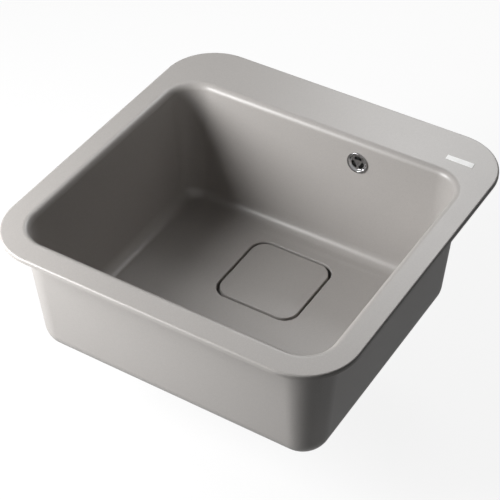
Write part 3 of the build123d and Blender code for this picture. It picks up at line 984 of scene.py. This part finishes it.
cover_half = 59.8 * mm
cover_corner = 21.5 * mm
cover_bottom_z = -187 * mm
cover_edge = 0.8 * mm
foot_reach = 46 * mm
foot_radius = 7 * mm
socket_top_z = -185 * mm
below_cover_z = -190 * mm


def cover_ring(inset, z):
    return outline(cover_half - inset, cover_half - inset, cover_corner - inset, z, drain_y)


def cover_rings():
    rings = [cover_ring(cover_edge, cover_bottom_z), cover_ring(0, cover_bottom_z + cover_edge)]
    for turn in turns(pi / 2, 5):
        height = floor_z - cover_edge * (1 - sin(turn))
        rings.append(cover_ring(cover_edge * (1 - cos(turn)), height))
    return rings


cover = as_object("cover_plate", capped(cover_rings()))
for side_x in (-1, 1):
    for side_y in (-1, 1):
        foot_place = (side_x * foot_reach, drain_y + side_y * foot_reach, 0)
        socket = cylinder(foot_radius, below_cover_z, socket_top_z, Matrix.Translation(foot_place))
        cut_by(cover, socket)
fitted(cover, "cover", ["waste_cover"], composite)

foot_profile = [
    (0, -194.6, 0),
    (4, -194.6, 0.3),
    (4.6, -195, 0.3),
    (7, -195, 0.8),
    (7, -185, 0.2),
    (0, -185, 0),
]
foot_place = Matrix.Translation((foot_reach, foot_reach, 0))
one_foot = turned(softened(in_metres(foot_profile)), foot_place, 48)
feet = as_object("cover_rubber_feet", repeated("feet_seed", one_foot, 4, at_drain, rubber))
fitted(feet, "cover", ["cover_feet"], rubber)

# Overflow rose. A pressed and turned brass ring, chromed, with three kidney slots in its dished
# middle; its threaded tail passes through the wall and screws into the head behind.


rose_front = -1.6
rose_profile = [
    (0, 0.9, 0),
    (10.6, 0.9, 0.5),
    (12.4, rose_front, 0.5),
    (15.4, rose_front, 0.4),
    (15.4, 0.6, 0.2),
    (11, 0.6, 0.2),
    (11, 22, 0.3),
    (9.6, 22, 0.2),
    (9.6, 1.7, 0.2),
    (0, 1.7, 0),
]


def kidney(middle_angle, inner, outer, sweep):
    """The outline of a slot along an arc, with round ends."""
    middle, end = (inner + outer) / 2, (outer - inner) / 2
    half = sweep / 2
    points = []
    for side in (1, -1):
        reach = outer if side > 0 else inner
        for i in range(17):
            angle = middle_angle + side * half * (i / 8 - 1)
            points.append((reach * cos(angle), reach * sin(angle)))
        stop = middle_angle + side * half
        for i in range(1, 8):
            turn = stop + pi * i / 8 + (pi if side < 0 else 0)
            points.append((middle * cos(stop) + end * cos(turn), middle * sin(stop) + end * sin(turn)))
    return points


def handling_marks_group():
    """Faint smears, for how sharply a surface shines and for its tint."""
    group, given = new_group("handling_marks", "Scale", 60, ("Marks",))
    inputs = {
        "Vector": given["Vector"],
        "Scale": given["Scale"],
        "Detail": 5,
        "Distortion": 0.6,
    }
    smear = wired(group, "ShaderNodeTexNoise", inputs)
    inputs = {"Value": smear.outputs["Fac"], "From Min": 0.35, "From Max": 0.7}
    spread = wired(group, "ShaderNodeMapRange", inputs)
    wired(group, "NodeGroupOutput", {"Marks": spread.outputs["Result"]})
    return group


handling_marks = handling_marks_group()


def marked(name, clean, worn, smooth, rough, scale, metallic):
    """A material with handling marks in its tint and gloss."""
    material, tree, shader, place = new_material(name)
    inputs = {"Vector": place, "Scale": scale}
    marks = wired(tree, "ShaderNodeGroup", inputs, node_tree=handling_marks).outputs["Marks"]
    look = {
        "Metallic": metallic,
        "Base Color": mixed_colour(tree, marks, clean, worn),
        "Roughness": ranged(tree, marks, smooth, rough),
    }
    set_inputs(tree, shader, look)
    return material


chrome = marked("chromed_brass", (0.6, 0.6, 0.61), (0.5, 0.5, 0.51), 0.08, 0.15, 220, 1)
rose = as_object("chrome_rose", turned(softened(in_metres(rose_profile)), on_back_wall, 96))
slot_edge = kidney(-pi / 2, 4.6 * mm, 9.4 * mm, radians(50))
rose_slot = prism(slot_edge, -3 * mm, 5 * mm, Matrix())
cut_by(rose, repeated("rose_slots", rose_slot, 3, on_back_wall, chrome))
fitted(rose, "sink", ["overflow_rose"], chrome)

# Overflow head. A rubber ring and a moulded head behind the wall, drawn tight by the rose's
# tail; its spigot points down.

ring_outer = 22 * mm
head_start_z = 10.578 * mm
ring_soft = 0.4 * mm
wall_ring = ring_between(
    ring_outer,
    overflow_hole,
    ring_seat_z,
    head_start_z,
    ring_soft,
    on_back_wall,
    "overflow_rubber_ring",
)
fitted(wall_ring, "sink", ["overflow_gasket"], rubber)

spigot_x, spigot_y, spigot_end_z = 60.4 * mm, 191.414 * mm, -63.245 * mm
at_spigot = Matrix.Translation((spigot_x, spigot_y, 0))
head_profile = [
    (0, 10.578, 0),
    (22, 10.578, 0.4),
    (22, 13.578, 0.9),
    (16.5, 13.578, 1.5),
    (16.5, 43.578, 3),
    (0, 43.578, 0),
]
head = as_object("overflow_moulding", turned(softened(in_metres(head_profile)), on_back_wall, 96))
spigot_profile = [(0, -63.245, 0), (14, -63.245, 0.4), (14, -29.245, 0), (0, -29.245, 0)]
joined_with(head, turned(softened(in_metres(spigot_profile)), at_spigot))
tail_bore = 11.05 * mm
bore_start_z = 9 * mm
bore_end_z = 40.578 * mm
cut_by(head, cylinder(tail_bore, bore_start_z, bore_end_z, on_back_wall))
spigot_bore = [
    (0, -65),
    (10.7, -65),
    (10.7, -53.245),
    (9, -53.245),
    (9, -29.245),
    (0, -29.245),
]
cut_by(head, turned(in_metres(spigot_bore), at_spigot))
fitted(head, "sink", ["overflow_head"], white_plastic)

# Overflow hose. Corrugated polypropylene with plain cuffs. It hangs from the head's spigot, bends
# once and enters the waste body; a nut squeezes a cone seal on each cuff.

route = [(154.69, -53.245), (154.69, -113), (154.69, -233), (62, -233)]
route_curve = bpy.data.curves.new("hose_route", "CURVE")
route_curve.dimensions = "3D"
route_curve.resolution_u = 24
spline = route_curve.splines.new("NURBS")
spline.points.add(len(route) - 1)
for point, (reach, z) in zip(spline.points, route):
    point.co = (*(hose_axis @ Vector((reach * mm, 0, z * mm))), 1)
spline.order_u = 3
spline.use_endpoint_u = True
route_object = bpy.data.objects.new("hose_route", route_curve)
bpy.context.scene.collection.objects.link(route_object)
route_depsgraph = bpy.context.evaluated_depsgraph_get()
route_mesh = bpy.data.meshes.new_from_object(route_object.evaluated_get(route_depsgraph))
bpy.data.objects.remove(route_object)


def hose_tree():
    """A corrugated tube along a line of points, with plain cuffs, a bore and closed end faces."""
    labels = ("Root Radius", "Crest Radius", "Bore Radius", "Pitch", "Crest Width", "Flank", "Cuff")
    kinds = {"Line": "Geometry", **dict.fromkeys(labels, "Float"), "Rings": "Int"}
    tree, given = new_tree("corrugated_tube", kinds, "Tube")
    line = wired(tree, "GeometryNodeMeshToCurve", {"Mesh": given["Line"]})
    inputs = {"Curve": line.outputs[0], "Count": given["Rings"]}
    spaced = wired(tree, "GeometryNodeResampleCurve", inputs)
    along = tree.nodes.new("GeometryNodeSplineParameter").outputs["Length"]
    whole = tree.nodes.new("GeometryNodeSplineLength").outputs["Length"]
    from_end = maths(tree, "MINIMUM", along, maths(tree, "SUBTRACT", whole, along))
    past_cuff = maths(tree, "SUBTRACT", along, given["Cuff"])
    half_pitch = maths(tree, "MULTIPLY", given["Pitch"], 0.5)
    wrapped = maths(tree, "FLOORED_MODULO", past_cuff, given["Pitch"])
    off_crest = maths(tree, "ABSOLUTE", maths(tree, "SUBTRACT", wrapped, half_pitch))
    half_crest = maths(tree, "MULTIPLY", given["Crest Width"], 0.5)
    slope = {
        "Value": off_crest,
        "From Min": half_crest,
        "From Max": maths(tree, "ADD", half_crest, given["Flank"]),
        "To Min": given["Crest Radius"],
        "To Max": given["Root Radius"],
    }
    rise = wired(tree, "ShaderNodeMapRange", slope, interpolation_type="SMOOTHSTEP")
    ribbed = maths(tree, "GREATER_THAN", from_end, given["Cuff"])
    inputs = {"Factor": ribbed, "A": given["Root Radius"], "B": rise.outputs["Result"]}
    ribs = wired(tree, "ShaderNodeMix", inputs)
    at_end = maths(tree, "LESS_THAN", from_end, 0.00005)
    inputs = {"Factor": at_end, "A": ribs.outputs["Result"], "B": given["Bore Radius"]}
    closed = wired(tree, "ShaderNodeMix", inputs)
    circle = wired(tree, "GeometryNodeCurvePrimitiveCircle", {"Resolution": 40, "Radius": 1})
    skins = []
    for size in (closed.outputs["Result"], given["Bore Radius"]):
        sweep = {
            "Curve": spaced.outputs[0],
            "Profile Curve": circle.outputs["Curve"],
            "Scale": size,
        }
        skins.append(wired(tree, "GeometryNodeCurveToMesh", sweep).outputs[0])
    turned_in = wired(tree, "GeometryNodeFlipFaces", {"Mesh": skins[1]})
    both = wired(tree, "GeometryNodeJoinGeometry", {0: skins[0]})
    tree.links.new(turned_in.outputs[0], both.inputs[0])
    inputs = {"Geometry": both.outputs[0], "Distance": 0.000001}
    welded = wired(tree, "GeometryNodeMergeByDistance", inputs)
    made_real(tree, welded.outputs[0], given["Material"], "Tube")
    return tree


hose_sizes = {
    "Root Radius": 10.5 * mm,
    "Crest Radius": 12.5 * mm,
    "Bore Radius": 8.7 * mm,
    "Pitch": 8 * mm,
    "Crest Width": 2.5 * mm,
    "Flank": 1.5 * mm,
    "Cuff": 26 * mm,
    "Rings": 480,
    "Material": white_plastic,
}
hose_line = bmesh.new()
hose_line.from_mesh(route_mesh)
hose_mesh = grown("hose_seed", hose_line, hose_tree(), hose_sizes)
hose = bpy.data.objects.new("corrugated_hose", hose_mesh)
bpy.context.scene.collection.objects.link(hose)
fitted(hose, "sink", ["overflow_hose"], white_plastic)

nut_profile = [
    (14.3, 0, 0.3),
    (17.3, 0, 0.6),
    (17.3, 15, 1),
    (10.8, 15, 0.3),
    (10.8, 12.5, 0.2),
    (14.3, 10.5, 0.2),
]
cone_profile = [(10.5, 0, 0.1), (14, 0, 0.3), (14, 2, 0.4), (10.8, 4, 0.1), (10.5, 4, 0.1)]
nut_radius = 17.3
grip_radius = 0.9
grip = []
for angle in range(0, 360, 45):
    out, across = grip_radius * cos(radians(angle)), grip_radius * sin(radians(angle))
    grip.append((nut_radius + out, across))
nut_shift = -8.5 * mm
grip_start, grip_end = 1.2 * mm, 13.2 * mm
upper_joint = at_spigot @ Matrix.Translation((0, 0, spigot_end_z)) @ Matrix.Rotation(pi, 4, "X")
lower_joint = along_inlet @ Matrix.Translation((0, 0, inlet_reach))
for end, joint in (("upper", upper_joint), ("lower", lower_joint)):
    nut_place = joint @ Matrix.Translation((0, 0, nut_shift))
    nut = as_object(end + "_hose_nut", turned(softened(in_metres(nut_profile)), nut_place))
    ridge = prism(in_metres(grip), grip_start, grip_end, Matrix())
    joined_with(nut, repeated("nut_grips", ridge, 8, nut_place, white_plastic))
    cone = as_object(end + "_cone_seal", turned(softened(in_metres(cone_profile)), joint))
    fitted(nut, "sink", ["hose_nuts"], white_plastic)
    fitted(cone, "sink", ["hose_seals"], rubber)

# Plate on the tap ledge. A bare strip of thin white plastic, stuck down beside the right-hand
# end of the ledge.

plate_corners = [(173.3, 192.1), (211.6, 191.6), (210.8, 201.1), (172.8, 200.8)]
plate_under_z = rim_top + 0.01 * mm
plate_top_z = rim_top + 0.35 * mm
plate_shell = prism(in_metres(plate_corners), plate_under_z, plate_top_z, Matrix())
plate_white = marked("white_plate", (0.93, 0.93, 0.92), (0.88, 0.88, 0.87), 0.3, 0.42, 140, 0)
plate = as_object("ledge_plate", plate_shell)
plate.data.materials.append(plate_white)
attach(plate, "sink")

# Studio. A pale floor under the waste, a wide soft lamp at the front left with a small low one
# beside it, two wide ones behind, and a plain white surround.

waste_bottom_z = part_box("waste_body")[0][2]


def white_where_seen(tree, shares):
    """How far a ray sees plain white: a share for each kind of ray named in Light Path."""
    path = tree.nodes.new("ShaderNodeLightPath").outputs
    total = 0
    for kind, share in shares.items():
        total = maths(tree, "MULTIPLY_ADD", path[kind], share, total)
    return total


def floor_material():
    """A matt floor that looks almost plain white, and like nothing at all from below."""
    material = bpy.data.materials.new("studio_floor")
    material.use_nodes = True
    tree = material.node_tree
    tree.nodes.remove(tree.nodes["Principled BSDF"])
    straight = white_where_seen(tree, {"Is Camera Ray": 1})
    colour = mixed_colour(tree, straight, (0.3, 0.3, 0.3), (1, 1, 1))
    matt = wired(tree, "ShaderNodeBsdfDiffuse", {"Color": colour})
    glow = tree.nodes.new("ShaderNodeEmission")
    shares = {"Is Camera Ray": 0.88, "Is Glossy Ray": 0.35, "Is Transmission Ray": 0.35}
    inputs = {"Fac": white_where_seen(tree, shares), 1: matt.outputs[0], 2: glow.outputs[0]}
    blend = wired(tree, "ShaderNodeMixShader", inputs)
    behind = tree.nodes.new("ShaderNodeNewGeometry").outputs["Backfacing"]
    clear = tree.nodes.new("ShaderNodeBsdfTransparent")
    inputs = {"Fac": behind, 1: blend.outputs[0], 2: clear.outputs[0]}
    seen_through = wired(tree, "ShaderNodeMixShader", inputs)
    set_inputs(tree, tree.nodes["Material Output"], {"Surface": seen_through.outputs[0]})
    return material


floor_shell = bmesh.new()
bmesh.ops.create_grid(floor_shell, x_segments=1, y_segments=1, size=12)
bmesh.ops.translate(floor_shell, verts=floor_shell.verts, vec=(0, 0, waste_bottom_z - 0.5 * mm))
floor = as_object("studio_floor", floor_shell)
floor.data.materials.append(floor_material())


def soft_lamp(name, turn, height, distance, width, power):
    """A round lamp set by its angles and its distance from the middle of the bowl."""
    lamp = bpy.data.lights.new(name, "AREA")
    lamp.shape = "DISK"
    lamp.size = width
    lamp.energy = power
    holder = bpy.data.objects.new(name, lamp)
    turn, height = radians(turn), radians(height)
    toward = Vector((cos(turn) * cos(height), sin(turn) * cos(height), sin(height)))
    holder.location = Vector((0, 0, -0.08)) + toward * distance
    holder.rotation_euler = (-toward).to_track_quat("-Z", "Y").to_euler()
    bpy.context.scene.collection.objects.link(holder)


soft_lamp("key_lamp", 222, 28, 1.3, 0.8, 28)
soft_lamp("low_lamp", 240, 8, 0.75, 0.4, 0.9)
soft_lamp("back_lamp", 102, 38, 1.6, 0.7, 7)
soft_lamp("high_back_lamp", 100, 55, 1.6, 0.9, 2.3)

world = bpy.data.worlds.new("studio")
world.use_nodes = True
bpy.context.scene.world = world
sky = world.node_tree
shares = {"Is Camera Ray": 1, "Is Glossy Ray": 0.5, "Is Transmission Ray": 1}
plain_white = {"Color": (1, 1, 1, 1), "Strength": white_where_seen(sky, shares)}
set_inputs(sky, sky.nodes["Background"], plain_white)

# Camera. Front right of the sink and above it, as in the photograph.

azimuth = radians(32.26)
elevation = radians(41.89)
roll = radians(-0.63)
ahead = Vector((-sin(azimuth) * cos(elevation), cos(azimuth) * cos(elevation), -sin(elevation)))
level_right = Vector((cos(azimuth), sin(azimuth), 0))
level_up = level_right.cross(ahead)
right = level_right * cos(roll) + level_up * sin(roll)
up = level_up * cos(roll) - level_right * sin(roll)
lens = bpy.data.cameras.new("camera")
lens.sensor_width = 36
lens.lens = 112.73
lens.clip_end = 50
camera = bpy.data.objects.new("camera", lens)
turn_matrix = Matrix((right, up, -ahead)).transposed().to_4x4()
camera.matrix_world = Matrix.Translation((0.80756, -1.29133, 1.27968)) @ turn_matrix
bpy.context.scene.collection.objects.link(camera)
bpy.context.scene.camera = camera
bpy.context.scene.view_settings.view_transform = "Standard"
